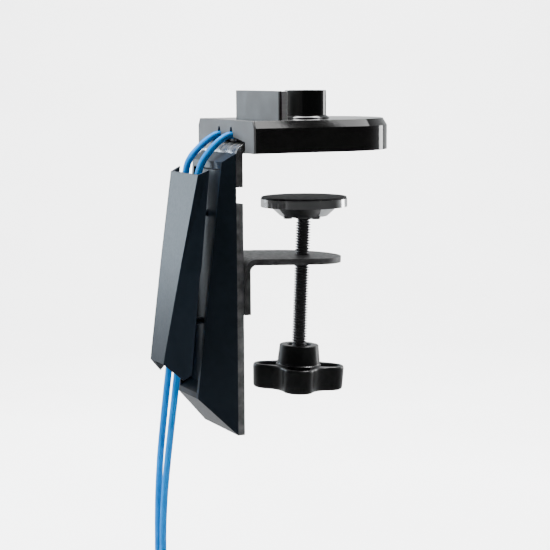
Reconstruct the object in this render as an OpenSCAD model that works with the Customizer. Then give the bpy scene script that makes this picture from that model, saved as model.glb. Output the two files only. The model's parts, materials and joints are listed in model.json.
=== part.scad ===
// Desk-edge clamp base with a screw jaw and a two-part cable cover.
// X = 0 is the desk edge, +X runs onto the desk, Y runs along the edge, Z = 0 is the desk top.

/* [Base] */
// width of the glossy base along the desk edge
base_w = 116; // [108:1:124]
// length of the base from the desk edge to the nose
base_len = 145; // [138:1:152]
// height of the base above the desk
base_h = 26.5; // [25:0.5:29]
// height of the bevel round the top edge
bevel_h = 6; // [4:0.5:7]
// depth of the bevel, measured inwards
bevel_in = 3.5; // [2:0.5:5]
// wall of the base shell
base_wall = 2.5; // [2:0.5:3]

/* [Steel] */
// thickness of the hook plate and of the back plate
steel_t = 6; // [5.5:0.25:6]
// half of the width of both plates
plate_half = 36; // [34:1:36]
// lowest point of the back plate
plate_low = 233; // [228:1:238]
// thickness of the jaw bracket
jaw_t = 5; // [4.5:0.5:5]
// half of the width of the jaw bracket
jaw_half = 39; // [38:0.5:40]

/* [Clamp] */
// desk thickness the jaw stands at
desk_t = 40; // [36:1:44]
// lean of the jaw and of its screw, in degrees
lean = 2.5; // [1:0.5:3]
// outer radius of the clamp screw's thread
screw_r = 6.35; // [6:0.05:6.5]
// radius of the pressing dish
dish_r = 37; // [34:0.5:38]
// reach of the knob lobes from the screw axis
knob_reach = 39.2; // [38:0.1:40]

/* [Post] */
// radius of the monitor post
post_r = 17.5; // [17:0.25:18]
// height at which post and column end
post_top = 50; // [45:1:60]

/* [Leads] */
// diameter of each network lead
lead_d = 5.8; // [5.2:0.2:6.2]

/* [Hidden] */
eps = 0.01;
fine = 96;
base_half = base_w / 2;
nose_x = base_len - base_half;
base_low = 0.3;
panel_t = 2;
pad_t = 1.5;
ear_x = 20;
ear_half = 40;
hook_low = pad_t;
hook_top = hook_low + steel_t;
bend_in = 3;
bend_out = bend_in + steel_t;
bend_z = hook_low - bend_in;
hook_end_x = 80;
leg_low = 25;
lip_t = 2.5;
plate_top = 41;
strap_half = 20;
strap_t = 4;
strap_top = 7;
strap_low = 75;
port_y = 12.5;
port_z = 14;
port_r = 3.75;
gland_t = 5;

column_x = 29;
column_half = 43;
face_t = 1.5;
seal_t = 1.5;
rail_t = 5;
rail_x = column_x + face_t + seal_t;
foot_x = rail_x + rail_t;
post_x = 74.5;
post_wall = 3;

jaw_x = 73.1;
jaw_bend_out = 10;
bend_steps = 12;
jaw_bend_in = jaw_bend_out - jaw_t;
flange_low = 132.4;
tongue_z = -49.5;
tongue_len = 54;
bend_cx = jaw_bend_out;
bend_cz = -desk_t + tongue_z * cos(lean) - (bend_cx - jaw_x - tongue_z * sin(lean)) * tan(lean)
    - jaw_bend_out / cos(lean);

ball_z = -10.5;
ball_r = 6.5;
ball_x = jaw_x + ball_z * sin(lean);
ball_h = -desk_t + ball_z * cos(lean);
liner_in = ball_r + 0.08;
liner_out = 8;
socket_r = liner_out + 0.08;
neck_r = 4;
washer_r = 11;
washer_top = ball_z - 6;
washer_low = washer_top - 2;
grip_top = -144.5;
grip_low = -165.2;
screw_end = -161;
hub_top = -127.3;
hub_base_r = 18.5;
hub_top_r = 16.8;
hub_recess_r = 10.2;
lobe_r = 13;
valley_at = 50.16;
valley_r = 23.66;
waist = [28.7, 12];
pocket_half = 8.5;
pocket_from = 19.5;
pocket_at = 27;
pocket_deep = 9;
collar_h = 2.6;
spigot_r = post_r - 0.3;
insert_r = 9;

bolt_ys = [-12, 12];
strap_zs = [-15, -50, -66];
screw_spots = [[14, -28], [14, 28], [98, -20], [98, 20]];

// corners of the inner cover: side, X, half width, Z
inner_shell = [[-6, 36, 0], [-16.5, 31.1, -7], [-36, 22, -202], [-6, 36, -plate_low]];
inner_space = [[-5, 33.6, -4], [-13, 29.87, -8.2], [-24.5, 24.5, -211], [-5, 33.6, 1.85 - plate_low]];
inner_tray = [[-15.2, 27.96, -14], [-18.5, 26.42, -11.5], [-37.5, 17.55, -198.5], [-25.3, 23.24, -192]];
function space_x(z) = -13 + (z + 8.2) * 11.5 / 202.8;
function tray_x(z) = -15.2 + (z + 14) * 10.1 / 178;
cover_screw_len = 17;
cover_boss_z = [-148, -190];

// outer cover: rows of [front X, front half width, front Z, rear X, rear half width, rear Z]
outer_rows = [
    [-28, 33, -12.5, -37, 30, -16.5],
    [-35.6, 32.2, -92, -50, 23, -90],
    [-37.2, 31.9, -100, -51.4, 22.2, -98.5],
    [-44.6, 30.8, -180, -62.3, 15.8, -164],
    [-50.5, 27, -184.5, -63.5, 15, -172]
];
outer_wall = 2.2;
pillar_zs = [-50, -140];
pillar_r = 3;
snap_r = 1.9;

hank_x = -62.5;
hank_y = 12;
hank_top = -340;
hank_len = 113;
hank_wide = 7 * lead_d;
hank_thick = 20;
layer_gap = 6.4;
plug_top = hank_top - hank_len;

lead_near_route = [
    [2, -12.5, 14], [-2, -12.5, 13.8], [-6, -12.4, 12.2], [-12, -11.8, 8], [-18.5, -11.1, 1.2],
    [-24, -10.6, -6], [-28, -10.2, -15], [-30.6, -9.9, -29], [-33, -9.5, -50], [-35.7, -9, -75],
    [-38.5, -8.5, -100], [-41.5, -8, -125], [-44.5, -7.5, -150], [-47.7, -7.6, -175], [-51, -8, -200],
    [-55, -7.9, -230], [-58, -7.4, -255], [-60.5, -6.7, -280], [-62, -6, -305], [-62.5, -5.7, -325],
    [-62.5, -5.6, -340]
];
lead_far_route = [
    [2, 12.5, 14], [-2, 12.5, 13.8], [-6, 12.4, 12.2], [-12.5, 12.2, 8.2], [-19.5, 12.1, 2.4],
    [-26, 11.9, -4.5], [-30, 11.6, -13], [-32.2, 11.3, -28], [-34.6, 10.8, -50], [-37.2, 10.2, -75],
    [-40, 9.6, -100], [-43, 9, -125], [-46, 8.5, -150], [-49, 8.1, -175], [-52.3, 8, -200],
    [-56, 7.9, -230], [-58.8, 7.5, -255], [-60.9, 6.7, -280], [-62.1, 6, -305], [-62.5, 5.7, -325],
    [-62.5, 5.6, -340]
];
lead_sides = 10;

// places its children in the leaning frame of the jaw; its origin is the pressing point under the desk
module leaning() {
    translate([jaw_x, 0, -desk_t])
        rotate([0, lean, 0])
            children();
}

// draws a profile of X and Z along Y, from -half to half
module along_y(half) {
    rotate([90, 0, 0])
        linear_extrude(height = 2 * half, center = true)
            children();
}

// end view of the base, across Y and up Z
module base_profile(half, top, low) {
    polygon([
        [-half, low], [half, low], [half, top - bevel_h],
        [half - bevel_in, top], [bevel_in - half, top], [-half, top - bevel_h]
    ]);
}

// half of the base's end view, for turning the nose
module nose_profile(half, top, low) {
    polygon([[0, low], [half, low], [half, top - bevel_h], [half - bevel_in, top], [0, top]]);
}

// solid D-shaped block with the bevelled top edge
module base_block(from_x, half, top, low) {
    translate([from_x, 0, 0])
        rotate([90, 0, 90])
            linear_extrude(height = nose_x - from_x)
                base_profile(half, top, low);
    translate([nose_x, 0, 0])
        rotate_extrude($fn = 180)
            nose_profile(half, top, low);
}

module base_cover() {
    color([0.02, 0.02, 0.022])
    difference() {
        union() {
            difference() {
                base_block(panel_t, base_half, base_h, base_low);
                base_block(panel_t - 1, base_half - base_wall, base_h - base_wall, base_low - 1);
            }
            for (spot = screw_spots)
                translate([spot[0], spot[1], hook_top])
                    cylinder(r = 4.5, h = base_h - base_wall - hook_top + 1, $fn = 48);
        }
        for (spot = screw_spots)
            translate([spot[0], spot[1], hook_top - 1])
                cylinder(r = 2, h = 10, $fn = 48);
        translate([column_x - 0.3, -column_half - 0.3, base_h - 6])
            cube([foot_x - column_x + 0.6, 2 * column_half + 0.6, 8]);
        translate([post_x, 0, base_h - 6])
            cylinder(r = post_r + 0.4, h = 8, $fn = fine);
    }
}

module rear_panel() {
    color([0.36, 0.37, 0.39])
    rotate([90, 0, 90])
        linear_extrude(height = panel_t)
            difference() {
                base_profile(base_half, base_h, base_low);
                polygon([
                    [-40.5, base_low - 1], [-40.5, 9], [-15, 12.8], [15, 12.8], [40.5, 9], [40.5, base_low - 1]
                ]);
                for (side = [-1, 1]) {
                    translate([side * port_y, port_z])
                        circle(r = port_r, $fn = 48);
                    polygon([
                        [side * port_y - port_r, port_z], [side * port_y - 1.2, 20.6],
                        [side * port_y + 1.2, 20.6], [side * port_y + port_r, port_z]
                    ]);
                }
            }
}

module port_glands() {
    color([0.05, 0.05, 0.05])
    for (side = [-1, 1])
        translate([panel_t, side * port_y - 6, 9])
            cube([gland_t, 12, 14]);
}

// horizontal arm of the hook, seen from above
module hook_plan() {
    translate([bend_in, -plate_half])
        square([hook_end_x - bend_in, 2 * plate_half]);
    translate([hook_end_x, 0])
        circle(r = plate_half, $fn = 144);
}

module hook_plate() {
    color([0.72, 0.73, 0.74])
    difference() {
        union() {
            translate([0, 0, hook_low])
                linear_extrude(height = steel_t)
                    hook_plan();
            along_y(plate_half)
                union() {
                    translate([-steel_t, -leg_low])
                        square([steel_t, leg_low + bend_z]);
                    translate([bend_in, bend_z])
                        intersection() {
                            difference() {
                                circle(r = bend_out, $fn = fine);
                                circle(r = bend_in, $fn = fine);
                            }
                            translate([-bend_out - 1, 0])
                                square(bend_out + 1);
                        }
                }
        }
        for (spot = screw_spots)
            translate([spot[0], spot[1], hook_low]) {
                translate([0, 0, -1])
                    cylinder(r = 2.2, h = steel_t + 2, $fn = 48);
                translate([0, 0, -eps])
                    cylinder(r1 = 4.2 + eps, r2 = 2.2, h = 2, $fn = 48);
            }
        for (y = [-20, 20])
            translate([foot_x + 11, y, hook_low - 1])
                cylinder(r = 2.5, h = steel_t + 2, $fn = 48);
        translate([post_x, 0, hook_low - 1])
            cylinder(r = 4.2, h = steel_t + 2, $fn = 48);
        translate([post_x, 0, hook_low - eps])
            cylinder(r1 = 8.2 + eps, r2 = 4.2, h = 4, $fn = 48);
        for (y = bolt_ys)
            translate([-steel_t - 1, y, strap_zs[0]])
                rotate([0, 90, 0])
                    cylinder(r = 3, h = steel_t + 2, $fn = 48);
    }
}

module desk_pad() {
    color([0.06, 0.06, 0.06])
    linear_extrude(height = pad_t) {
        translate([4, 2 - plate_half])
            square([hook_end_x - 4, 2 * plate_half - 4]);
        translate([hook_end_x, 0])
            circle(r = plate_half - 2, $fn = 144);
        translate([4.5, -ear_half])
            square([ear_x - 4.5, 2 * ear_half]);
        for (y = [-ear_half, plate_half + 0.6])
            translate([0, y])
                square([ear_x, ear_half - plate_half - 0.6]);
    }
}

module base_screws() {
    color([0.7, 0.7, 0.72])
    for (spot = screw_spots)
        translate([spot[0], spot[1], hook_low]) {
            cylinder(r1 = 4.2, r2 = 2.2, h = 2, $fn = 48);
            cylinder(r = 2, h = 13, $fn = 48);
        }
}

module column_face() {
    color([0.38, 0.39, 0.41])
    translate([column_x, -column_half, hook_top])
        cube([face_t, 2 * column_half, post_top - hook_top]);
}

module column_seal() {
    color([0.03, 0.03, 0.03])
    translate([column_x + face_t, 1 - column_half, hook_top])
        cube([seal_t, 2 * column_half - 2, post_top - hook_top]);
}

module column_rail() {
    color([0.75, 0.76, 0.77])
    difference() {
        translate([rail_x, -column_half, hook_top])
            cube([rail_t, 2 * column_half, post_top - hook_top]);
        for (y = [-20, 20])
            translate([rail_x - 1, y, 17])
                rotate([0, 90, 0])
                    cylinder(r = 2.5, h = rail_t + 2, $fn = 48);
    }
}

module column_foot() {
    color([0.6, 0.6, 0.62])
    difference() {
        union() {
            translate([foot_x, -30, hook_top])
                cube([4, 60, 14.5]);
            translate([foot_x, -30, hook_top])
                cube([17, 60, 4]);
        }
        for (y = [-20, 20]) {
            translate([foot_x + 11, y, hook_top - 1])
                cylinder(r = 2.5, h = 6, $fn = 48);
            translate([foot_x - 1, y, 17])
                rotate([0, 90, 0])
                    cylinder(r = 2.5, h = 6, $fn = 48);
        }
    }
}

module column_bolts() {
    color([0.3, 0.3, 0.32])
    for (y = [-20, 20]) {
        translate([foot_x + 11, y, hook_low])
            cylinder(r = 2.5, h = steel_t + 4, $fn = 48);
        translate([foot_x + 11, y, hook_top + 4])
            cylinder(r = 4.2, h = 3, $fn = 48);
        translate([rail_x, y, 17])
            rotate([0, 90, 0])
                cylinder(r = 2.5, h = rail_t + 4, $fn = 48);
        translate([foot_x + 4, y, 17])
            rotate([0, 90, 0])
                cylinder(r = 4, h = 2.5, $fn = 48);
    }
}

module post() {
    color([0.02, 0.02, 0.02])
    difference() {
        union() {
            translate([post_x, 0, hook_top])
                cylinder(r = spigot_r, h = base_h + collar_h - hook_top, $fn = fine);
            translate([post_x, 0, base_h + collar_h])
                cylinder(r = post_r, h = post_top - base_h - collar_h, $fn = fine);
        }
        translate([post_x, 0, hook_top - 1])
            cylinder(r = post_r - post_wall, h = post_top - hook_top + 2, $fn = fine);
    }
}

module post_collar() {
    color([0.05, 0.05, 0.05])
    translate([post_x, 0, base_h])
        rotate_extrude($fn = fine)
            polygon([
                [spigot_r, 0], [post_r + 2.8, 0], [post_r + 2.4, 0.9], [post_r + 1, 2.1],
                [post_r, collar_h], [spigot_r, collar_h]
            ]);
}

module post_plug() {
    color([0.5, 0.5, 0.52])
    translate([post_x, 0, hook_top])
        difference() {
            cylinder(r = post_r - post_wall, h = 12, $fn = fine);
            translate([0, 0, -1])
                cylinder(r = 4, h = 14, $fn = 48);
        }
}

module post_bolt() {
    color([0.3, 0.3, 0.32])
    translate([post_x, 0, hook_low]) {
        cylinder(r1 = 8.2, r2 = 4.2, h = 4, $fn = 48);
        cylinder(r = 4, h = steel_t + 11, $fn = 48);
    }
}

module link_strap() {
    color([0.7, 0.71, 0.72])
    difference() {
        union() {
            translate([-steel_t - strap_t, -strap_half, -strap_low])
                cube([strap_t, 2 * strap_half, strap_low - strap_top]);
            translate([-steel_t, -plate_half, -leg_low - lip_t])
                cube([steel_t, 2 * plate_half, lip_t]);
        }
        for (y = bolt_ys)
            for (z = strap_zs)
                translate([-steel_t - strap_t - 1, y, z])
                    rotate([0, 90, 0])
                        cylinder(r = 3, h = strap_t + 2, $fn = 48);
    }
}

module strap_bolts() {
    color([0.3, 0.3, 0.32])
    for (y = bolt_ys)
        for (z = strap_zs)
            translate([-steel_t - strap_t, y, z])
                rotate([0, 90, 0]) {
                    cylinder(r = 3, h = strap_t + steel_t - 0.5, $fn = 48);
                    translate([0, 0, -2.5])
                        cylinder(r = 5, h = 2.5, $fn = 48);
                }
}

module back_plate() {
    color([0.33, 0.34, 0.36])
    difference() {
        translate([-steel_t, -plate_half, -plate_low])
            cube([steel_t, 2 * plate_half, plate_low - plate_top]);
        for (y = bolt_ys)
            for (z = [strap_zs[1], strap_zs[2]])
                translate([-steel_t - 1, y, z])
                    rotate([0, 90, 0])
                        cylinder(r = 3, h = steel_t + 2, $fn = 48);
        for (y = [-24, 24])
            for (z = [-106, -124])
                translate([-steel_t - 1, y, z])
                    rotate([0, 90, 0])
                        cylinder(r = 3, h = steel_t + 2, $fn = 48);
        for (z = cover_boss_z)
            translate([-steel_t - 1, 0, z])
                rotate([0, 90, 0])
                    cylinder(r = 2, h = steel_t + 2, $fn = 48);
    }
}

// side view of the jaw: flange down the plate, bend, and leaning tongue
module jaw_profile(reach) {
    turn = [for (k = [0 : bend_steps]) 180 - (90 + lean) * k / bend_steps];
    down = [sin(lean), cos(lean)];
    along = [cos(lean), -sin(lean)];
    centre = [bend_cx, bend_cz];
    polygon(concat(
        [[0, -flange_low]],
        [for (a = turn) centre + jaw_bend_out * [cos(a), sin(a)]],
        [centre + jaw_bend_out * down + reach * along, centre + jaw_bend_in * down + reach * along],
        [for (k = [bend_steps : -1 : 0]) centre + jaw_bend_in * [cos(turn[k]), sin(turn[k])]],
        [[jaw_t, -flange_low]]
    ));
}

module jaw_bracket() {
    color([0.16, 0.165, 0.175])
    difference() {
        intersection() {
            along_y(jaw_half + 5)
                jaw_profile(tongue_len + jaw_half + 5);
            translate([bend_cx, 0, bend_cz])
                rotate([0, lean, 0])
                    translate([0, 0, -60])
                        linear_extrude(height = 90) {
                            translate([-30, -jaw_half])
                                square([tongue_len + 30, 2 * jaw_half]);
                            translate([tongue_len, 0])
                                circle(r = jaw_half, $fn = 144);
                        }
        }
        leaning()
            translate([0, 0, tongue_z - jaw_t - 5])
                cylinder(r = screw_r + 0.05, h = jaw_t + 10, $fn = fine);
        for (y = [-24, 24])
            for (z = [-106, -124])
                translate([-1, y, z])
                    rotate([0, 90, 0])
                        cylinder(r = 3, h = jaw_t + 2, $fn = 48);
    }
}

module jaw_bolts() {
    color([0.3, 0.3, 0.32])
    for (y = [-24, 24])
        for (z = [-106, -124])
            translate([-steel_t, y, z])
                rotate([0, 90, 0]) {
                    cylinder(r = 3, h = steel_t + jaw_t, $fn = 48);
                    translate([0, 0, steel_t + jaw_t])
                        cylinder(r = 5, h = 2.5, $fn = 48);
                }
}

// closed five-sided block between a row of corners and its mirror image
module facet_block(rows) {
    near = [for (p = rows) [p[0], -p[1], p[2]]];
    far = [for (p = rows) [p[0], p[1], p[2]]];
    polyhedron(
        points = concat(near, far),
        faces = [
            [0, 2, 1], [0, 3, 2], [4, 5, 6], [4, 6, 7],
            [0, 1, 5, 4], [1, 2, 6, 5], [2, 3, 7, 6], [3, 0, 4, 7]
        ]
    );
}

module cover_inner() {
    color([0.10, 0.12, 0.15])
    difference() {
        union() {
            difference() {
                facet_block(inner_shell);
                facet_block(inner_space);
                facet_block(inner_tray);
            }
            for (z = cover_boss_z)
                translate([space_x(z) - 0.5, 0, z])
                    rotate([0, 90, 0])
                        cylinder(r = 4.5, h = -steel_t - space_x(z) + 0.5, $fn = 24);
        }
        for (z = cover_boss_z)
            translate([-cover_screw_len - 1, 0, z])
                rotate([0, 90, 0])
                    cylinder(r = 1.6, h = cover_screw_len - 3, $fn = 24);
        for (z = pillar_zs)
            translate([-40, 0, z])
                rotate([0, 90, 0])
                    cylinder(r = snap_r + 0.4, h = 32, $fn = 24);
    }
}

module cover_screws() {
    color([0.3, 0.3, 0.32])
    for (z = cover_boss_z)
        translate([-cover_screw_len, 0, z])
            rotate([0, 90, 0]) {
                cylinder(r = 1.6, h = cover_screw_len, $fn = 48);
                translate([0, 0, cover_screw_len])
                    cylinder(r = 3.4, h = 2, $fn = 48);
            }
}

// ring of eight corners round one row of the outer cover's wall
function wall_ring(r, t) = [
    [r[0], -r[1], r[2]], [r[3], -r[4], r[5]], [r[3], r[4], r[5]], [r[0], r[1], r[2]],
    [r[0], r[1] - t, r[2]], [r[3] + t, r[4] - t, r[5]], [r[3] + t, t - r[4], r[5]], [r[0], t - r[1], r[2]]
];

module cover_outer() {
    color([0.12, 0.14, 0.18])
    union() {
        rings = [for (r = outer_rows) each wall_ring(r, outer_wall)];
        count = len(outer_rows);
        polyhedron(
            points = rings,
            faces = concat(
                [for (k = [0 : count - 2]) for (i = [0 : 7]) each [
                    [8 * k + i, 8 * k + 8 + (i + 1) % 8, 8 * k + (i + 1) % 8],
                    [8 * k + i, 8 * k + 8 + i, 8 * k + 8 + (i + 1) % 8]
                ]],
                [[7, 1, 6], [7, 0, 1], [6, 2, 5], [6, 1, 2], [5, 3, 4], [5, 2, 3]],
                [for (f = [[7, 6, 1], [7, 1, 0], [6, 5, 2], [6, 2, 1], [5, 4, 3], [5, 3, 2]])
                    [for (i = f) i + 8 * (count - 1)]]
            )
        );
        for (z = pillar_zs) {
            gap_x = tray_x(z) - 0.4;
            back_x = -37 + (z + 16.5) * 26.5 / 155.5 + 1;
            translate([back_x, 0, z])
                rotate([0, 90, 0])
                    cylinder(r = pillar_r, h = gap_x - back_x, $fn = 24);
            translate([back_x, 0, z])
                rotate([0, 90, 0])
                    cylinder(r = snap_r, h = gap_x - back_x + 5, $fn = 24);
        }
    }
}

module thrust_washer() {
    color([0.5, 0.5, 0.52])
    leaning()
        translate([0, 0, washer_low])
            difference() {
                cylinder(r = washer_r, h = washer_top - washer_low, $fn = fine);
                translate([0, 0, -1])
                    cylinder(r = neck_r + 0.05, h = 4, $fn = 48);
            }
}

module clamp_screw() {
    color([0.12, 0.12, 0.13])
    leaning() {
        translate([0, 0, ball_z])
            sphere(r = ball_r, $fn = 64);
        translate([0, 0, washer_low])
            cylinder(r = neck_r, h = ball_z - washer_low, $fn = 48);
        translate([0, 0, screw_end])
            cylinder(r = screw_r, h = washer_low - screw_end, $fn = fine);
    }
}

// four-lobe outline of the knob: round lobes with shallow valleys between them
module knob_plan() {
    rotate(-25) {
        difference() {
            polygon([for (k = [0 : 3]) each [
                turned([waist[0], -waist[1]], k), turned(waist, k)
            ]]);
            for (k = [0 : 3])
                rotate(45 + 90 * k)
                    translate([valley_at, 0])
                        circle(r = valley_r, $fn = fine);
        }
        for (k = [0 : 3])
            rotate(90 * k)
                translate([knob_reach - lobe_r, 0])
                    circle(r = lobe_r, $fn = fine);
    }
}

// point p after k quarter turns
function turned(p, k) = [p[0] * cos(90 * k) - p[1] * sin(90 * k), p[0] * sin(90 * k) + p[1] * cos(90 * k)];

// hollow in the top of one lobe, seen from above
module pocket_plan() {
    translate([pocket_from, -pocket_half])
        square([pocket_at - pocket_from, 2 * pocket_half]);
    translate([pocket_at, 0])
        circle(r = pocket_half, $fn = 64);
}

module knob() {
    color([0.03, 0.03, 0.03])
    leaning()
        difference() {
            union() {
                translate([0, 0, grip_low])
                    linear_extrude(height = grip_top - grip_low)
                        knob_plan();
                translate([0, 0, grip_top - 1])
                    cylinder(r1 = hub_base_r, r2 = hub_top_r, h = hub_top - grip_top + 1, $fn = fine);
            }
            translate([0, 0, grip_low - 1])
                cylinder(r = insert_r, h = 21, $fn = fine);
            translate([0, 0, grip_low])
                cylinder(r = screw_r + 0.4, h = 50, $fn = fine);
            translate([0, 0, hub_top - 6])
                cylinder(r = hub_recess_r, h = 7, $fn = fine);
            for (k = [0 : 3])
                rotate(-25 + 90 * k)
                    translate([0, 0, grip_top - pocket_deep])
                        linear_extrude(height = pocket_deep + 3)
                            pocket_plan();
        }
}

module knob_insert() {
    color([0.75, 0.6, 0.3])
    leaning()
        translate([0, 0, grip_low + 3.5])
            difference() {
                cylinder(r = insert_r, h = 16.5, $fn = fine);
                translate([0, 0, -1])
                    cylinder(r = screw_r, h = 19, $fn = fine);
            }
}

module knob_cap() {
    color([0.05, 0.05, 0.05])
    leaning()
        translate([0, 0, grip_low])
            cylinder(r = insert_r, h = 2.5, $fn = fine);
}

// places its children at the centre of the pressing dish's ball
module at_ball() {
    translate([ball_x, 0, ball_h])
        children();
}

module ball_liner() {
    color([0.85, 0.85, 0.82])
    at_ball()
        difference() {
            intersection() {
                sphere(r = liner_out, $fn = 64);
                translate([0, 0, -4])
                    cylinder(r = 20, h = 9, $fn = 48);
            }
            sphere(r = liner_in, $fn = 64);
        }
}

module pad_dish() {
    color([0.55, 0.56, 0.58])
    difference() {
        union() {
            translate([ball_x, 0, -desk_t])
                rotate_extrude($fn = 144)
                    polygon([
                        [0, -pad_t], [dish_r, -pad_t], [dish_r, -8.5], [dish_r - 2, -8.5], [dish_r - 2, -4],
                        [dish_r - 2.9, -4], [20, -16.5], [14, -16.5], [12.8, -14.6], [0, -14.6]
                    ]);
            for (k = [0 : 3])
                translate([ball_x, 0, -desk_t])
                    rotate(190 + 90 * k)
                        translate([17, 0, -18.2])
                            cylinder(r1 = 3.6, r2 = 5, h = 5.2, $fn = 32);
        }
        at_ball()
            sphere(r = socket_r, $fn = 64);
    }
}

module pad_face() {
    color([0.05, 0.05, 0.05])
    translate([ball_x, 0, -desk_t - pad_t])
        cylinder(r = dish_r - 0.5, h = pad_t, $fn = 144);
}

// direction of the route at point i
function route_dir(p, i) =
    i == 0 ? [-1, 0, 0] : i == len(p) - 1 ? [0, 0, -1] : unit(unit(p[i + 1] - p[i]) + unit(p[i] - p[i - 1]));
function unit(v) = v / norm(v);

module lead_tube(p) {
    n = lead_sides;
    last = len(p) - 1;
    polyhedron(
        points = [for (i = [0 : last])
            let (t = route_dir(p, i), u = unit(cross([0, 1, 0], t)), v = cross(t, u))
                for (k = [0 : n - 1])
                    p[i] + lead_d / 2 * (cos(360 * k / n) * u + sin(360 * k / n) * v)],
        faces = concat(
            [for (i = [0 : last - 1]) for (k = [0 : n - 1]) each [
                [n * i + k, n * i + n + (k + 1) % n, n * i + (k + 1) % n],
                [n * i + k, n * i + n + k, n * i + n + (k + 1) % n]
            ]],
            [[for (k = [0 : n - 1]) k]],
            [[for (k = [0 : n - 1]) n * last + n - 1 - k]]
        )
    );
}

module lead_near() {
    color([0.1, 0.25, 0.5])
    lead_tube(lead_near_route);
}

module lead_far() {
    color([0.1, 0.25, 0.5])
    lead_tube(lead_far_route);
}

// bundle of the folded lead, with flat patches where the lead enters and leaves
module hank(side) {
    translate([hank_x, side * hank_y, hank_top - hank_len / 2])
        along_y(hank_thick / 2)
            union() {
                for (up = [-1, 1])
                    translate([0, up * (hank_len - hank_wide) / 2])
                        circle(r = hank_wide / 2, $fn = fine);
                square([hank_wide, hank_len - hank_wide], center = true);
                square([10, hank_len], center = true);
            }
}

module hank_near() {
    color([0.1, 0.25, 0.5])
    hank(-1);
}

module hank_far() {
    color([0.1, 0.25, 0.5])
    hank(1);
}

module hank_ties() {
    color([0.04, 0.04, 0.04])
    for (side = [-1, 1])
        translate([hank_x, side * hank_y, hank_top - hank_len / 2])
            difference() {
                cube([hank_wide + 2, hank_thick + 2, 12], center = true);
                cube([hank_wide, hank_thick, 14], center = true);
            }
}

module plug(side) {
    translate([hank_x, side * (hank_y + layer_gap), 0]) {
        translate([0, 0, plug_top - 12])
            cylinder(r1 = 4, r2 = 3.6, h = 12, $fn = 48);
        translate([-5.85, -4, plug_top - 33])
            cube([11.7, 8, 21.5]);
    }
}

module plug_near() {
    color([0.75, 0.78, 0.8])
    plug(-1);
}

module plug_far() {
    color([0.75, 0.78, 0.8])
    plug(1);
}

base_cover();
rear_panel();
port_glands();
hook_plate();
desk_pad();
base_screws();
column_face();
column_seal();
column_rail();
column_foot();
column_bolts();
post();
post_collar();
post_plug();
post_bolt();
link_strap();
strap_bolts();
back_plate();
jaw_bracket();
jaw_bolts();
cover_inner();
cover_screws();
cover_outer();
thrust_washer();
clamp_screw();
knob();
knob_insert();
knob_cap();
ball_liner();
pad_dish();
pad_face();
lead_near();
lead_far();
hank_near();
hank_far();
hank_ties();
plug_near();
plug_far();
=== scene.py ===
"""Desk-edge clamp base: materials, rounded pieces, leads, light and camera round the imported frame."""

import json
import math

import bmesh
import bpy
from mathutils import Matrix, Vector


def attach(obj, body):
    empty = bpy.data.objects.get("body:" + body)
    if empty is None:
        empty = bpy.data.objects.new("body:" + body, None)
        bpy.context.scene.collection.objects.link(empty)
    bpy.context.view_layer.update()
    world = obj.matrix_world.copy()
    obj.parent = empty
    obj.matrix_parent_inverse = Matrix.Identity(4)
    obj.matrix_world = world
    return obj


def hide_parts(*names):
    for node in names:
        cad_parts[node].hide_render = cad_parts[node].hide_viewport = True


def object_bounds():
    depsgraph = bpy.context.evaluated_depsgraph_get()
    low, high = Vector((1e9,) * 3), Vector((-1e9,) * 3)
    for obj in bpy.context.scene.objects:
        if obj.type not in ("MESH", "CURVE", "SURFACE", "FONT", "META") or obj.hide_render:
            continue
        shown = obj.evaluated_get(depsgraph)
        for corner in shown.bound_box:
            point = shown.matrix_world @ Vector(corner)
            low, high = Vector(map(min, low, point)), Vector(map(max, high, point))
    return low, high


MM = 0.001

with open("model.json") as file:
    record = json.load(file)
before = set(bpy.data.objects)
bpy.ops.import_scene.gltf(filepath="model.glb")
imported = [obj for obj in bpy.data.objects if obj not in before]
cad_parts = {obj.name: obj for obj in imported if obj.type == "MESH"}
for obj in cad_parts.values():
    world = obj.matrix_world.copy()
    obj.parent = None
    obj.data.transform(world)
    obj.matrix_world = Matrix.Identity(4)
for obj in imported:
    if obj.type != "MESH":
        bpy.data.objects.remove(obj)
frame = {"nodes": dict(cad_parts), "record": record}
cad_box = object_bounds()
NODES = frame["nodes"]
RECORD = frame["record"]
NODE_BODY = {n: body for body, group in RECORD["behaviour"]["bodies"].items() for n in group}
NODE_SLOT = {part["node"]: part["material_slot"] for part in RECORD["subparts"]}

# ---------------------------------------------------------------- camera

CAMERA_AIM = Vector((0.045, 0.0, -0.106))
CAMERA_DISTANCE = 1.378
CAMERA_AZIMUTH = math.radians(-25.0)
CAMERA_ELEVATION = math.radians(7.2)
CAMERA_ROLL = math.radians(-0.35)
CAMERA_SENSOR_MM = 36.0
CAMERA_LENS_MM = 106.04


def add_camera():
    """Camera at the photograph's viewing angle."""
    back = Vector(
        (
            math.sin(CAMERA_AZIMUTH) * math.cos(CAMERA_ELEVATION),
            -math.cos(CAMERA_AZIMUTH) * math.cos(CAMERA_ELEVATION),
            math.sin(CAMERA_ELEVATION),
        )
    )
    level = Vector((math.cos(CAMERA_AZIMUTH), math.sin(CAMERA_AZIMUTH), 0.0))
    upright = back.cross(level)
    right = math.cos(CAMERA_ROLL) * level + math.sin(CAMERA_ROLL) * upright
    up = math.cos(CAMERA_ROLL) * upright - math.sin(CAMERA_ROLL) * level
    data = bpy.data.cameras.new("camera")
    data.sensor_width = CAMERA_SENSOR_MM
    data.lens = CAMERA_LENS_MM
    data.clip_start = 0.05
    camera = bpy.data.objects.new("camera", data)
    bpy.context.scene.collection.objects.link(camera)
    turn = Matrix((right, up, back)).transposed().to_4x4()
    camera.matrix_world = Matrix.Translation(CAMERA_AIM + CAMERA_DISTANCE * back) @ turn
    bpy.context.scene.camera = camera


add_camera()

# ---------------------------------------------------------------- materials

# nearly all of a noise texture's values lie between these two
NOISE_LOW = 0.3
NOISE_HIGH = 0.7


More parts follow.
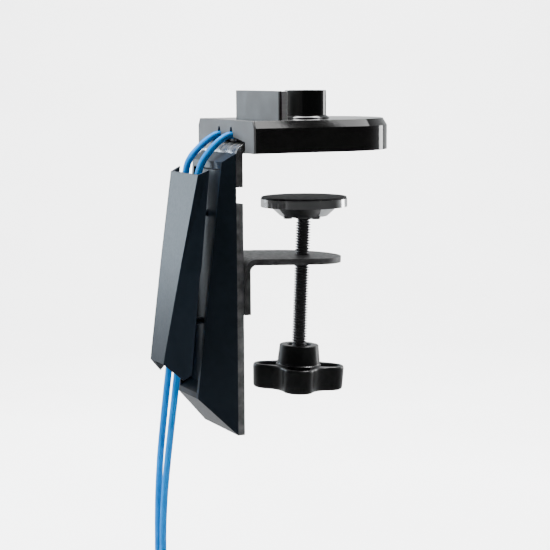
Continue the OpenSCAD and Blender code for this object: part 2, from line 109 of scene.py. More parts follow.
class Shader:
    """A node material with the noise, bump and colour helpers that the surfaces share."""

    def __init__(self, name):
        self.material = bpy.data.materials.new(name)
        self.material.use_nodes = True
        self.tree = self.material.node_tree
        self.base = self.tree.nodes["Principled BSDF"]
        self.where = self.node("ShaderNodeTexCoord").outputs["Object"]
        self.bumps = None

    def node(self, kind, **values):
        made = self.tree.nodes.new(kind)
        for key, value in values.items():
            setattr(made, key, value)
        return made

    def link(self, source, target):
        self.tree.links.new(source, target)

    def stretched(self, factors):
        """Coordinates scaled along each axis, so that a texture runs in one direction."""
        mapping = self.node("ShaderNodeMapping")
        mapping.inputs["Scale"].default_value = factors
        self.link(self.where, mapping.inputs["Vector"])
        return mapping.outputs["Vector"]

    def noise(self, scale, detail=2.0, rough=0.5, where=None):
        made = self.node("ShaderNodeTexNoise")
        made.inputs["Scale"].default_value = scale
        made.inputs["Detail"].default_value = detail
        made.inputs["Roughness"].default_value = rough
        self.link(where or self.where, made.inputs["Vector"])
        return made.outputs["Fac"]

    def cells(self, scale):
        made = self.node("ShaderNodeTexVoronoi")
        made.inputs["Scale"].default_value = scale
        self.link(self.where, made.inputs["Vector"])
        return made.outputs["Distance"]

    def bands(self, direction, scale, distortion=0.0, detail=2.0):
        made = self.node("ShaderNodeTexWave", wave_type="BANDS", bands_direction=direction)
        made.inputs["Scale"].default_value = scale
        made.inputs["Distortion"].default_value = distortion
        made.inputs["Detail"].default_value = detail
        self.link(self.where, made.inputs["Vector"])
        return made.outputs["Fac"]

    def colour(self, source, dark, light, low=NOISE_LOW, high=NOISE_HIGH):
        ramp = self.node("ShaderNodeValToRGB")
        stops = [(low, dark), (high, light)]
        for end, (place, tone) in zip(ramp.color_ramp.elements, stops):
            end.position = place
            end.color = (*tone, 1.0)
        self.link(source, ramp.inputs["Fac"])
        self.link(ramp.outputs["Color"], self.base.inputs["Base Color"])

    def roughness(self, source, low, high):
        span = self.node("ShaderNodeMapRange")
        span.inputs["From Min"].default_value = NOISE_LOW
        span.inputs["From Max"].default_value = NOISE_HIGH
        span.inputs["To Min"].default_value = low
        span.inputs["To Max"].default_value = high
        self.link(source, span.inputs["Value"])
        self.link(span.outputs["Result"], self.base.inputs["Roughness"])

    def bump(self, source, strength, depth):
        made = self.node("ShaderNodeBump")
        made.inputs["Strength"].default_value = strength
        made.inputs["Distance"].default_value = depth
        self.link(source, made.inputs["Height"])
        if self.bumps:
            self.link(self.bumps, made.inputs["Normal"])
        self.bumps = made.outputs["Normal"]
        self.link(self.bumps, self.base.inputs["Normal"])

    def set(self, **values):
        """Sets shader inputs by name, with _ for each space."""
        for key, value in values.items():
            self.base.inputs[key.replace("_", " ")].default_value = value


def gloss_black(name, tone=0.0035, low=0.04, high=0.075):
    """Polished black plastic: faint mould haze, a little dust and a very slight orange peel."""
    s = Shader(name)
    haze = s.noise(38.0, 3.0)
    s.colour(haze, (tone * 0.7,) * 3, (tone * 1.4,) * 3)
    s.roughness(haze, low, high)
    s.bump(s.noise(240.0, 1.0), 0.05, 0.0002)
    s.set(IOR=1.42)
    return s.material


def moulded_black(name):
    """Knob plastic: shiny with soft flow waves and scuffs."""
    s = Shader(name)
    waves = s.noise(90.0, 4.0, 0.6)
    s.colour(waves, (0.004, 0.004, 0.0042), (0.007, 0.007, 0.0075))
    s.roughness(waves, 0.28, 0.34)
    s.bump(s.noise(1600.0, 3.0), 0.02, 0.0001)
    s.set(IOR=1.45)
    return s.material


def satin_paint(name, dark, light, grain=2600.0):
    """Baked paint with a fine grain and cloudy gloss."""
    s = Shader(name)
    clouds = s.noise(55.0, 3.0)
    s.colour(clouds, dark, light)
    s.roughness(clouds, 0.42, 0.56)
    s.bump(s.noise(grain, 2.0), 0.18, 0.0001)
    s.set(Specular_IOR_Level=0.35)
    return s.material


def powder_coat(name, dark, light):
    """Powder coat: close pebble texture, worn a little lighter in patches."""
    s = Shader(name)
    s.colour(s.noise(140.0, 5.0, 0.65), dark, light, 0.34, 0.7)
    s.roughness(s.noise(300.0, 2.0), 0.36, 0.55)
    s.bump(s.cells(1150.0), 0.32, 0.00012)
    s.bump(s.noise(420.0, 3.0), 0.2, 0.0002)
    return s.material


def zinc(name):
    """Bright zinc: metal with rolled streaks, cloudy gloss and small pits."""
    s = Shader(name)
    streaks = s.noise(60.0, 6.0, 0.62, s.stretched((1.0, 9.0, 1.0)))
    s.colour(streaks, (0.2, 0.203, 0.207), (0.62, 0.62, 0.615), 0.34, 0.66)
    s.roughness(s.noise(160.0, 4.0), 0.2, 0.42)
    s.bump(s.noise(650.0, 4.0), 0.25, 0.0002)
    s.set(Metallic=1.0)
    return s.material


def machined(name, dark, light, low=0.18, high=0.34):
    """Turned or drawn metal with fine tool lines."""
    s = Shader(name)
    lines = s.noise(90.0, 5.0, 0.6, s.stretched((1.0, 1.0, 22.0)))
    s.colour(lines, dark, light)
    s.roughness(lines, low, high)
    s.bump(lines, 0.12, 0.0001)
    s.set(Metallic=1.0)
    return s.material


def rubber(name):
    """Matte rubber with a fine grain."""
    s = Shader(name)
    s.colour(s.noise(120.0, 4.0), (0.0084,) * 3, (0.018,) * 3)
    s.roughness(s.noise(200.0), 0.62, 0.8)
    s.bump(s.noise(1800.0, 3.0), 0.3, 0.00015)
    return s.material


def cover_plastic(name):
    """Dark satin moulding with a blue cast: fine spark texture over soft flow lines."""
    s = Shader(name)
    flow = s.noise(24.0, 3.0, 0.5, s.stretched((1.0, 1.0, 0.35)))
    s.colour(flow, (0.0045, 0.0075, 0.0115), (0.007, 0.011, 0.0165))
    s.roughness(s.noise(420.0, 3.0), 0.28, 0.36)
    s.bump(s.noise(2200.0, 2.0), 0.12, 0.0001)
    s.set(IOR=1.3)
    return s.material


def sheath(name):
    """Soft blue cable sheath with a faint twist of the pairs inside."""
    s = Shader(name)
    s.colour(s.noise(60.0, 3.0), (0.0, 0.125, 0.39), (0.0, 0.18, 0.52))
    s.roughness(s.noise(90.0), 0.3, 0.4)
    s.set(Specular_IOR_Level=0.08)
    s.bump(s.bands("Z", 28.0, 3.0, 1.0), 0.12, 0.0003)
    s.bump(s.noise(1500.0), 0.1, 0.00008)
    return s.material


def clear_moulding(name):
    """Clear connector plastic, kept slightly milky."""
    s = Shader(name)
    s.colour(s.noise(200.0), (0.62, 0.66, 0.69), (0.74, 0.78, 0.8))
    s.roughness(s.noise(300.0), 0.08, 0.16)
    s.bump(s.noise(900.0), 0.05, 0.0001)
    s.set(Transmission_Weight=0.55, IOR=1.49)
    return s.material


def woven(name):
    """Woven strap: crossed ribs of thread."""
    s = Shader(name)
    s.colour(s.noise(300.0, 4.0), (0.008, 0.008, 0.009), (0.024, 0.024, 0.026))
    s.roughness(s.noise(500.0), 0.7, 0.9)
    s.bump(s.bands("Z", 420.0, 0.8), 0.5, 0.0002)
    s.bump(s.bands("DIAGONAL", 380.0), 0.4, 0.0002)
    return s.material


def pressed_zinc(name):
    """Deep-drawn zinc plate: mirror-like with soft ripples and fine scratches."""
    s = Shader(name)
    ripple = s.noise(45.0, 2.0)
    s.colour(ripple, (0.5, 0.505, 0.51), (0.72, 0.72, 0.715))
    s.roughness(s.noise(700.0, 3.0), 0.08, 0.16)
    s.bump(ripple, 0.12, 0.0012)
    s.bump(s.noise(1400.0, 2.0), 0.06, 0.0001)
    s.set(Metallic=1.0)
    return s.material


MATERIALS = {
    "gloss_black": gloss_black("gloss_black"),
    "panel_grey": satin_paint("panel_grey", (0.056, 0.057, 0.058), (0.068, 0.069, 0.07)),
    "rubber_black": rubber("rubber_black"),
    "zinc": zinc("zinc"),
    "pressed_zinc": pressed_zinc("pressed_zinc"),
    "powder_grey": powder_coat("powder_grey", (0.034, 0.0345, 0.0355), (0.095, 0.096, 0.098)),
    "bracket_grey": powder_coat("bracket_grey", (0.014, 0.014, 0.0145), (0.036, 0.0365, 0.038)),
    "column_grey": satin_paint("column_grey", (0.052, 0.053, 0.054), (0.062, 0.063, 0.064)),
    "rail_alu": machined("rail_alu", (0.72, 0.72, 0.72), (0.9, 0.9, 0.9), 0.3, 0.42),
    "steel": machined("steel", (0.42, 0.42, 0.43), (0.62, 0.62, 0.63)),
    "black_steel": machined("black_steel", (0.16, 0.16, 0.165), (0.3, 0.3, 0.31), 0.32, 0.46),
    "post_black": gloss_black("post_black", 0.003, 0.1, 0.17),
    "cover_dark": cover_plastic("cover_dark"),
    "knob_black": moulded_black("knob_black"),
    "brass": machined("brass", (0.55, 0.38, 0.13), (0.75, 0.56, 0.24)),
    "liner_white": satin_paint("liner_white", (0.66, 0.66, 0.62), (0.76, 0.76, 0.72), 900.0),
    "lead_blue": sheath("lead_blue"),
    "plug_clear": clear_moulding("plug_clear"),
    "tie_black": woven("tie_black"),
}

# ---------------------------------------------------------------- mesh helpers

WELD_WITHIN = 0.003 * MM
FLAT_WITHIN = math.radians(0.5)


def link_mesh(name, mesh, material):
    mesh.materials.clear()
    mesh.materials.append(material)
    piece = bpy.data.objects.new(name, mesh)
    bpy.context.scene.collection.objects.link(piece)
    return piece


def bake(piece):
    """Applies the piece's modifiers."""
    bpy.context.view_layer.update()
    seen = piece.evaluated_get(bpy.context.evaluated_depsgraph_get())
    mesh = bpy.data.meshes.new_from_object(seen)
    piece.modifiers.clear()
    piece.data = mesh
    return mesh


def settle(piece, sharp=35.0):
    """Bakes the piece and shades it smooth, with creases at sharp bends and flat broad faces."""
    mesh = bake(piece)
    mesh.shade_smooth()
    mesh.set_sharp_from_angle(angle=math.radians(sharp))
    even = piece.modifiers.new("even", "WEIGHTED_NORMAL")
    even.keep_sharp = True
    bake(piece)


def soften(piece, width, segments=3, angle=32.0):
    """Rounds the edges that bend by more than the angle."""
    edge = piece.modifiers.new("edge", "BEVEL")
    edge.width = width
    edge.segments = segments
    edge.limit_method = "ANGLE"
    edge.angle_limit = math.radians(angle)
    edge.miter_outer = "MITER_ARC"


def follow(piece, node):
    """The piece rides where the node does."""
    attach(piece, NODE_BODY[node])


def keep(piece, *nodes):
    """The piece follows its first node and stands for all of them."""
    follow(piece, nodes[0])
    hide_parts(*nodes)


def refined(node, width, segments=3, angle=32.0, sharp=40.0, material=None):
    """The node's own solid with its tessellation cleaned and its edges rounded."""
    mesh = NODES[node].data.copy()
    if "custom_normal" in mesh.attributes:
        mesh.attributes.remove(mesh.attributes["custom_normal"])
    bm = bmesh.new()
    bm.from_mesh(mesh)
    bmesh.ops.remove_doubles(bm, verts=bm.verts, dist=WELD_WITHIN)
    bmesh.ops.dissolve_limit(bm, angle_limit=FLAT_WITHIN, verts=bm.verts, edges=bm.edges)
    bm.normal_update()
    bm.to_mesh(mesh)
    bm.free()
    piece = link_mesh("fine_" + node, mesh, material or MATERIALS[NODE_SLOT[node]])
    soften(piece, width, segments, angle)
    settle(piece, sharp)
    keep(piece, node)


def mesh_from(name, bm, turn):
    """Mesh of the bmesh, faces outward, moved by the matrix."""
    bmesh.ops.recalc_face_normals(bm, faces=bm.faces)
    mesh = bpy.data.meshes.new(name)
    bm.to_mesh(mesh)
    bm.free()
    mesh.transform(turn)
    return mesh


def ring(bm, radius, height, steps):
    """Circle of vertices about Z, or the one vertex on the axis."""
    if radius < 1e-7:
        return [bm.verts.new((0.0, 0.0, height))]
    turns = [2 * math.pi * k / steps for k in range(steps)]
    return [bm.verts.new((radius * math.cos(a), radius * math.sin(a), height)) for a in turns]


def lathe(name, profile, material, steps, turn):
    """Solid of revolution about Z from (radius, height) points, moved by the matrix."""
    bm = bmesh.new()
    rings = [ring(bm, radius, height, steps) for radius, height in profile]
    for low, high in zip(rings, rings[1:]):
        for k in range(steps):
            near = [low[k % len(low)], low[(k + 1) % len(low)]]
            corners = near + [high[(k + 1) % len(high)], high[k % len(high)]]
            unique = [v for i, v in enumerate(corners) if v not in corners[:i]]
            if len(unique) > 2:
                bm.faces.new(unique)
    return link_mesh(name, mesh_from(name, bm, turn), material)


# ---------------------------------------------------------------- network leads

LEAD_D = 5.8 * MM

# the hanks and routes are in mm, as the CAD part has them
HANK_X = -62.5
HANK_Y = 12.0
HANK_TOP = -340.0
HANK_LEN = 113.0
HANK_LOW = HANK_TOP - HANK_LEN
LAYER_GAP = 6.4
FOLD_R = 17.4
# how a hank's end swings out to its first run: distance out, distance along
LEAD_IN = [(0.0, 0.0), (0.6, 7.0), (4.5, 18.0), (11.5, 31.0), (16.3, 44.0), (FOLD_R, 57.0)]
# where the points of a straight run lie, as parts of its length
RUN_POINTS = [0.12, 0.3, 0.5, 0.7, 0.88]
FOLD_STEPS = 8

LEAD_NEAR = [
    (2, -12.5, 14), (-2, -12.5, 13.8), (-6, -12.4, 12.2), (-12, -11.8, 8), (-18.5, -11.1, 1.2),
    (-24, -10.6, -6), (-28, -10.2, -15), (-30.6, -9.9, -29), (-33, -9.5, -50), (-35.7, -9, -75),
    (-38.5, -8.5, -100), (-41.5, -8, -125), (-44.5, -7.5, -150), (-47.7, -7.6, -175), (-51, -8, -200),
    (-55, -7.9, -230), (-58, -7.4, -255), (-60.5, -6.7, -280), (-62, -6, -305), (-62.5, -5.7, -325),
]
LEAD_FAR = [
    (2, 12.5, 14), (-2, 12.5, 13.8), (-6, 12.4, 12.2), (-12.5, 12.2, 8.2), (-19.5, 12.1, 2.4),
    (-26, 11.9, -4.5), (-30, 11.6, -13), (-32.2, 11.3, -28), (-34.6, 10.8, -50), (-37.2, 10.2, -75),
    (-40, 9.6, -100), (-43, 9, -125), (-46, 8.5, -150), (-49, 8.1, -175), (-52.3, 8, -200),
    (-56, 7.9, -230), (-58.8, 7.5, -255), (-60.9, 6.7, -280), (-62.1, 6, -305), (-62.5, 5.7, -325),
]


def fold(y, centre, start):
    """Half circle of points, clockwise from the start angle in degrees."""
    turn = [math.radians(start - 180 * k / FOLD_STEPS) for k in range(FOLD_STEPS + 1)]
    return [(HANK_X + FOLD_R * math.cos(a), y, centre + FOLD_R * math.sin(a)) for a in turn]


def hank_route(side):
    """Points of the folded length, in mm, from the hank's top to its bottom."""
    top = HANK_TOP - LEAD_D / MM / 2 - FOLD_R
    low = HANK_LOW + LEAD_D / MM / 2 + FOLD_R
    layers = [side * (HANK_Y - LAYER_GAP), side * HANK_Y, side * (HANK_Y + LAYER_GAP)]
    points = [(HANK_X + out, layers[0], HANK_TOP - along) for out, along in LEAD_IN]
    for here, there in zip(layers, layers[1:]):
        points += fold(here, low, 0)
        step = there - here
        points += [(HANK_X - FOLD_R, here + step * t, low + (top - low) * t) for t in RUN_POINTS]
        points += fold(there, top, 180)
        if there == layers[1]:
            points += [(HANK_X + FOLD_R, there, top + (low - top) * t) for t in RUN_POINTS]
    points += [(HANK_X + out, layers[2], HANK_LOW + along) for out, along in reversed(LEAD_IN)]
    return points


def smooth_line(points, steps=6):
    """Catmull-Rom curve through the points, in metres."""
    knots = [Vector(p) * MM for p in points]
    knots = [2 * knots[0] - knots[1]] + knots + [2 * knots[-1] - knots[-2]]
    line = []
    for a, b, c, d in zip(knots, knots[1:], knots[2:], knots[3:]):
        slope = c - a
        square = 2 * a - 5 * b + 4 * c - d
        cube = 3 * b - a - 3 * c + d
        for k in range(steps):
            t = k / steps
            line.append(0.5 * (2 * b + slope * t + square * t * t + cube * t**3))
    line.append(knots[-2])
    return line


def lead_curve(name, line):
    """Round curve of the lead's thickness along the line."""
    data = bpy.data.curves.new(name, "CURVE")
    data.dimensions = "3D"
    data.bevel_depth = LEAD_D / 2
    data.bevel_resolution = 6
    data.use_fill_caps = True
    data.twist_mode = "MINIMUM"
    spline = data.splines.new("POLY")
    spline.points.add(len(line) - 1)
    for point, place in zip(spline.points, line):
        point.co = (*place, 1.0)
    spline.use_smooth = True
    data.materials.append(MATERIALS["lead_blue"])
    piece = bpy.data.objects.new(name, data)
    bpy.context.scene.collection.objects.link(piece)
    return piece


def add_box(bm, centre, size):
    made = bmesh.ops.create_cube(bm, size=1.0)["verts"]
    for v in made:
        v.co = Vector(centre) + Vector([side * c for side, c in zip(size, v.co)])


BOOT_LEN = 12.0
BOOT_RIBS = 4
RIB_PITCH = 2.4
PLUG_SIZE = (11.6, 7.2, 20.8)
LATCH_SIZE = (3.2, 1.0, 13.5)
CONTACT_SIZE = (0.44, 0.45, 6.1)
CONTACT_COUNT = 8
CONTACT_PITCH = 1.02


def boot_profile():
    """Radius and height of the ribbed boot, in mm, downward from the lead's end."""
    profile = [(0.0, 0.0), (3.3, 0.0), (3.6, -0.4)]
    for k in range(BOOT_RIBS):
        z = -1.6 - RIB_PITCH * k
        profile += [(3.65, z), (3.25, z - 0.3), (3.3, z - 0.9), (3.8, z - 1.2)]
    return profile + [(3.9, 0.4 - BOOT_LEN), (3.6, -BOOT_LEN), (0.0, -BOOT_LEN)]


def add_plug(side, node):
    """Clear eight-way network plug with contacts, a latch and a ribbed blue boot."""
    end = Vector((HANK_X, side * (HANK_Y + LAYER_GAP), HANK_LOW)) * MM
    place = Matrix.Translation(end) @ Matrix.Scale(MM, 4)
    bm = bmesh.new()
    add_box(bm, (0.0, 0.0, -22.4), PLUG_SIZE)
    add_box(bm, (0.0, side * 3.4, -23.75), LATCH_SIZE)
    shell = link_mesh("shell_" + node, mesh_from("shell_" + node, bm, place), MATERIALS["plug_clear"])
    soften(shell, 0.4 * MM)
    settle(shell)
    bm = bmesh.new()
    for k in range(CONTACT_COUNT):
        across = (k - (CONTACT_COUNT - 1) / 2) * CONTACT_PITCH
        add_box(bm, (across, -side * 3.68 - 0.025, -29.55), CONTACT_SIZE)
    mesh = mesh_from("contacts_" + node, bm, place)
    contacts = link_mesh("contacts_" + node, mesh, MATERIALS["brass"])
    boot = lathe("boot_" + node, boot_profile(), MATERIALS["lead_blue"], 48, place)
    settle(boot, 50.0)
    keep(shell, node)
    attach(contacts, NODE_BODY[node])
    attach(boot, NODE_BODY[node])
    return [shell, contacts, boot]


def add_lead(name, route, side):
    """One network lead from its port to its plug, with its hank."""
    line = smooth_line(route + hank_route(side))
    piece = lead_curve("cord_" + name, line)
    keep(piece, "lead_" + name, "hank_" + name)
    add_plug(side, "plug_" + name)


add_lead("near", LEAD_NEAR, -1)
add_lead("far", LEAD_FAR, 1)

# ---------------------------------------------------------------- clamp screw and knob

# mm in the jaw's leaning frame, which starts at the pressing point under the desk
LEAN = math.radians(2.5)
PRESS_POINT = Vector((73.1, 0.0, -40.0)) * MM
JAW = Matrix.Translation(PRESS_POINT) @ Matrix.Rotation(LEAN, 4, "Y") @ Matrix.Scale(MM, 4)
KNOB_TURN = Matrix.Rotation(math.radians(-25.0), 4, "Z")

CREST_R = 6.35
ROOT_R = 4.75
PITCH = 2.3
TURN_STEPS = 40
THREAD_TOP = -19.2
THREAD_LOW = -150.0
# radius above the root, from 0 to 1, and height along one turn of the thread
THREAD_FORM = [(1.0, 0.0), (1.0, -0.5), (0.0, -1.1), (0.0, -1.75)]
BALL_R = 6.5
BALL_Z = -10.5
NECK_R = 4.0
# 0.05 mm lower than in the CAD, where the shoulder touches the washer
SHOULDER_Z = -18.55
CORE_R = 4.8
SCREW_END = -161.0

GRIP_STEPS = 240
LOBE_AT = 26.2
LOBE_R = 13.0
VALLEY_AT = 50.16
VALLEY_R = 23.66
# angle from a lobe's middle where it meets the valley
LOBE_TO = 23.1
# height and inset of the rings that shape the grip's rounded rim
GRIP_LEVELS = [
    (-165.2, 3.4), (-165.0, 2.2), (-164.3, 1.2), (-163.0, 0.75), (-160.0, 0.55), (-151.0, 0.15),
    (-147.4, 0.0), (-145.9, 0.15), (-145.0, 0.6), (-144.6, 1.2), (-144.5, 1.9),
]
POCKET_NEAR = 18.2
# height, half width and far end of the pockets' floor and mouth
POCKET_FLOOR = (-154.5, 7.0, 23.2)
POCKET_MOUTH = (-143.5, 10.0, 27.4)
# radius and height of the hub, from its bore over the top to its foot
HUB_PROFILE = [
    (6.6, -150.0), (6.6, -133.3), (9.9, -133.3), (10.2, -133.0), (10.3, -128.0), (10.8, -127.45),
    (11.4, -127.3), (15.9, -127.3), (16.5, -127.5), (16.8, -128.1), (18.4, -143.3), (18.7, -144.1),
    (19.4, -144.55), (19.4, -149.0),
]


def add_thread():
    """Ridge that winds down the screw, run out to the root at both ends."""
    count = int((THREAD_TOP - THREAD_LOW) / PITCH) * TURN_STEPS
    bm = bmesh.new()
    rows = []
    for i in range(count + 1):
        a = 2 * math.pi * i / TURN_STEPS
        z = THREAD_TOP - PITCH * i / TURN_STEPS
        fade = min(1.0, i / TURN_STEPS, (count - i) / TURN_STEPS)
        radii = [ROOT_R + (CREST_R - ROOT_R) * fade * rise for rise, _ in THREAD_FORM]
        drops = [drop for _, drop in THREAD_FORM]
        row = [(r * math.cos(a), r * math.sin(a), z + drop) for r, drop in zip(radii, drops)]
        rows.append([bm.verts.new(spot) for spot in row])
    for i in range(count):
        for j in range(3):
            bm.faces.new((rows[i][j], rows[i + 1][j], rows[i + 1][j + 1], rows[i][j + 1]))
        if i + TURN_STEPS < count:
            below = i + TURN_STEPS
            bm.faces.new((rows[i][3], rows[i + 1][3], rows[below + 1][0], rows[below][0]))
    thread = link_mesh("screw_thread", mesh_from("screw_thread", bm, JAW), MATERIALS["black_steel"])
    settle(thread, 28.0)
    return thread


def add_core():
    """Core of the screw with its ball end, neck and shoulder."""
    angles = [math.radians(a) for a in range(0, 143, 6)]
    core = [(BALL_R * math.sin(a), BALL_Z + BALL_R * math.cos(a)) for a in angles]
    core += [(NECK_R, -15.8), (NECK_R, SHOULDER_Z), (6.0, SHOULDER_Z), (6.3, SHOULDER_Z - 0.3)]
    core += [(6.3, THREAD_TOP), (CORE_R, THREAD_TOP - 0.7)]
    core += [(CORE_R, SCREW_END + 0.6), (CORE_R - 0.5, SCREW_END), (0.0, SCREW_END)]
    shank = lathe("screw_core", core, MATERIALS["black_steel"], 72, JAW)
    settle(shank, 30.0)
    return shank


def add_screw():
    thread = add_thread()
    shank = add_core()
    keep(shank, "clamp_screw")
    follow(thread, "clamp_screw")


def knob_radius(angle):
    """Outline of the four-lobe knob, in mm: round lobes joined by hollow valleys."""
    offset = abs((angle + 45.0) % 90.0 - 45.0)
    if offset <= LOBE_TO:
        a = math.radians(offset)
        return LOBE_AT * math.cos(a) + math.sqrt(LOBE_R**2 - (LOBE_AT * math.sin(a)) ** 2)
    a = math.radians(45.0 - offset)
    return VALLEY_AT * math.cos(a) - math.sqrt(VALLEY_R**2 - (VALLEY_AT * math.sin(a)) ** 2)


def pocket_ring(bm, turn, height, half, far):
    """Vertices round the hollow in one lobe at the height."""
    bend = [math.radians(a) for a in range(-90, 91, 10)]
    outline = [(POCKET_NEAR, half), (POCKET_NEAR, -half)]
    outline += [(far + half * math.cos(a), half * math.sin(a)) for a in bend]
    return [bm.verts.new(turn @ Vector((x, y, height))) for x, y in outline]


def join_rings(bm, low, high):
    count = len(low)
    for k in range(count):
        bm.faces.new((low[k], low[(k + 1) % count], high[(k + 1) % count], high[k]))


def add_pockets():
    """Cutter for the hollows in the four lobes."""
    bm = bmesh.new()
    for k in range(4):
        turn = Matrix.Rotation(math.pi / 2 * k, 4, "Z")
        low = pocket_ring(bm, turn, *POCKET_FLOOR)
        high = pocket_ring(bm, turn, *POCKET_MOUTH)
        join_rings(bm, low, high)
        bm.faces.new(low)
        bm.faces.new(high)
    mesh = mesh_from("knob_pockets", bm, JAW @ KNOB_TURN)
    return link_mesh("knob_pockets", mesh, MATERIALS["knob_black"])


def add_grip():
    """Lobed grip with a rounded rim and a hollow in each lobe."""
    bm = bmesh.new()
    rings = []
    for z, inset in GRIP_LEVELS:
        level = []
        for k in range(GRIP_STEPS):
            degrees = 360.0 * k / GRIP_STEPS
            a = math.radians(degrees)
            r = knob_radius(degrees) - inset
            level.append(bm.verts.new((r * math.cos(a), r * math.sin(a), z)))
        rings.append(level)
    for low, high in zip(rings, rings[1:]):
        join_rings(bm, low, high)
    bm.faces.new(rings[0][::-1])
    bm.faces.new(rings[-1])
    grip = link_mesh("knob_grip", mesh_from("knob_grip", bm, JAW @ KNOB_TURN), MATERIALS["knob_black"])
    pockets = add_pockets()
    cut = grip.modifiers.new("pockets", "BOOLEAN")
    cut.object = pockets
    cut.operation = "DIFFERENCE"
    cut.solver = "EXACT"
    soften(grip, 0.5 * MM, 3, 50.0)
    settle(grip, 40.0)
    bpy.data.objects.remove(pockets)
    return grip


def add_knob():
    grip = add_grip()
    hub = lathe("knob_hub", HUB_PROFILE, MATERIALS["knob_black"], 96, JAW)
    settle(hub, 50.0)
    keep(grip, "knob")
    follow(hub, "knob")


add_screw()
add_knob()

# ---------------------------------------------------------------- pieces from the frame

# node, width of its rounded edges in mm, and what differs from the usual rounding
ROUNDED = [
    ("base_cover", 0.7, {"segments": 4, "angle": 22.0}),
    ("rear_panel", 0.35, {}),
    ("port_glands", 0.5, {}),
    ("hook_plate", 0.5, {}),
    ("desk_pad", 0.3, {}),
    ("base_screws", 0.1, {}),
    ("column_face", 0.3, {}),
    ("column_seal", 0.2, {}),
    ("column_rail", 0.5, {}),
    ("column_foot", 0.4, {}),
    ("column_bolts", 0.3, {}),
    ("post", 0.3, {}),
    ("post_collar", 0.2, {}),
    ("post_plug", 0.4, {}),
    ("post_bolt", 0.2, {}),
    ("link_strap", 0.4, {}),
    ("strap_bolts", 0.4, {}),
    ("back_plate", 0.6, {}),
    ("jaw_bracket", 0.7, {}),
    ("jaw_bolts", 0.4, {}),
    ("cover_inner", 0.6, {"angle": 12.0, "sharp": 30.0}),
    ("cover_screws", 0.3, {}),
    ("cover_outer", 0.5, {"angle": 14.0, "sharp": 30.0}),
    ("thrust_washer", 0.3, {}),
    ("knob_insert", 0.3, {}),
    ("knob_cap", 0.4, {}),
    ("ball_liner", 0.2, {}),
    ("pad_dish", 0.5, {"angle": 24.0, "material": MATERIALS["pressed_zinc"]}),
    ("pad_face", 0.4, {}),
    ("hank_ties", 0.4, {}),
]

for rounded_node, edge_width, changes in ROUNDED:
    refined(rounded_node, edge_width * MM, **changes)

# ---------------------------------------------------------------- floor and light

# metres, in the floor's own frame, with Y away from the camera
FLOOR_Z = cad_box[0][2] - 0.02
FLOOR_NEAR = -0.6
FLOOR_FAR = 3.4
FLOOR_HALF = 1.7
BACKDROP_RISE = 3.0
BACKDROP_BEND = 1.4


def add_floor():
    """Pale floor that curves up into a backdrop, left out of reflections so that gloss stays dark."""
    bm = bmesh.new()
    start = FLOOR_FAR - BACKDROP_BEND
    bend = [math.radians(a) for a in range(6, 91, 6)]
    line = [(FLOOR_NEAR, 0.0), (start, 0.0)]
    line += [(start + BACKDROP_BEND * math.sin(a), BACKDROP_BEND * (1 - math.cos(a))) for a in bend]
    line += [(FLOOR_FAR, BACKDROP_RISE)]
    rows = [[bm.verts.new((x, y, FLOOR_Z + z)) for x in (-FLOOR_HALF, FLOOR_HALF)] for y, z in line]
    for (a, b), (c, d) in zip(rows, rows[1:]):
        bm.faces.new((a, b, d, c))
    mesh = bpy.data.meshes.new("floor")
    bm.to_mesh(mesh)
    bm.free()
    mesh.shade_smooth()
    s = Shader("floor")
    s.colour(s.noise(3.0), (0.86, 0.86, 0.86), (0.9, 0.9, 0.9))
    s.roughness(s.noise(5.0), 0.7, 0.8)
    floor = link_mesh("floor", mesh, s.material)
    floor.rotation_euler[2] = CAMERA_AZIMUTH
    floor.visible_glossy = False


# how far a direction points to the back, and how bright the surround is there
DIM_FROM = (-0.45, 0.08)
BRIGHT_FROM = (0.35, 0.9)
SURROUND_TINT = (0.96, 0.98, 1.0, 1.0)


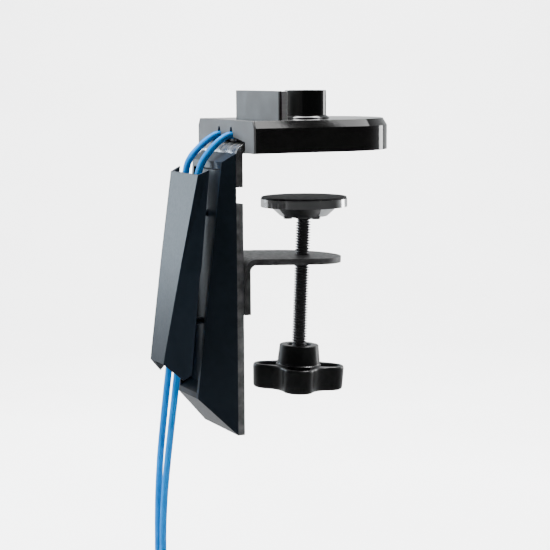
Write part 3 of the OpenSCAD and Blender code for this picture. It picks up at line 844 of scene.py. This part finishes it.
def add_world():
    """Soft studio surround: bright behind, dim in front of the object."""
    world = bpy.data.worlds.new("studio")
    bpy.context.scene.world = world
    world.use_nodes = True
    tree = world.node_tree
    back = tree.nodes["Background"]
    where = tree.nodes.new("ShaderNodeTexCoord")
    parts = tree.nodes.new("ShaderNodeSeparateXYZ")
    span = tree.nodes.new("ShaderNodeMapRange")
    span.interpolation_type = "SMOOTHSTEP"
    span.inputs["From Min"].default_value, span.inputs["To Min"].default_value = DIM_FROM
    span.inputs["From Max"].default_value, span.inputs["To Max"].default_value = BRIGHT_FROM
    tree.links.new(where.outputs["Generated"], parts.inputs["Vector"])
    tree.links.new(parts.outputs["Y"], span.inputs["Value"])
    tree.links.new(span.outputs["Result"], back.inputs["Strength"])
    back.inputs["Color"].default_value = SURROUND_TINT


WHITE = (1.0, 1.0, 1.0)
# name, place, aim, width and height, watts, tint
LIGHTS = [
    ("backdrop_light", (0.25, 0.3, 2.2), (0.9, 2.6, -0.2), (3.2, 1.4), 640.0, WHITE),
    ("left_box", (-1.9, 0.5, 0.5), (-0.03, 0.0, -0.12), (1.0, 1.4), 45.0, (0.85, 0.93, 1.0)),
    ("cover_box", (-0.62, 1.25, 0.12), (-0.05, 0.0, -0.1), (0.22, 0.5), 4.0, (0.72, 0.87, 1.0)),
    ("right_box", (0.865, -0.39, 0.84), (0.09, 0.0, 0.0), (0.63, 0.34), 5.0, WHITE),
    ("nose_strip", (1.29, 0.22, -0.02), (0.12, -0.04, 0.01), (0.3, 0.5), 5.0, WHITE),
    ("bevel_kicker", (0.505, -0.63, 0.955), (0.01, -0.055, 0.025), (0.06, 0.16), 0.3, WHITE),
]


def area_light(name, place, aim, size, power, tint):
    data = bpy.data.lights.new(name, "AREA")
    data.shape = "RECTANGLE"
    data.size, data.size_y = size
    data.energy = power
    data.color = tint
    lamp = bpy.data.objects.new(name, data)
    bpy.context.scene.collection.objects.link(lamp)
    lamp.location = place
    lamp.rotation_euler = (Vector(aim) - Vector(place)).to_track_quat("-Z", "Y").to_euler()


add_floor()
add_world()
for light in LIGHTS:
    area_light(*light)
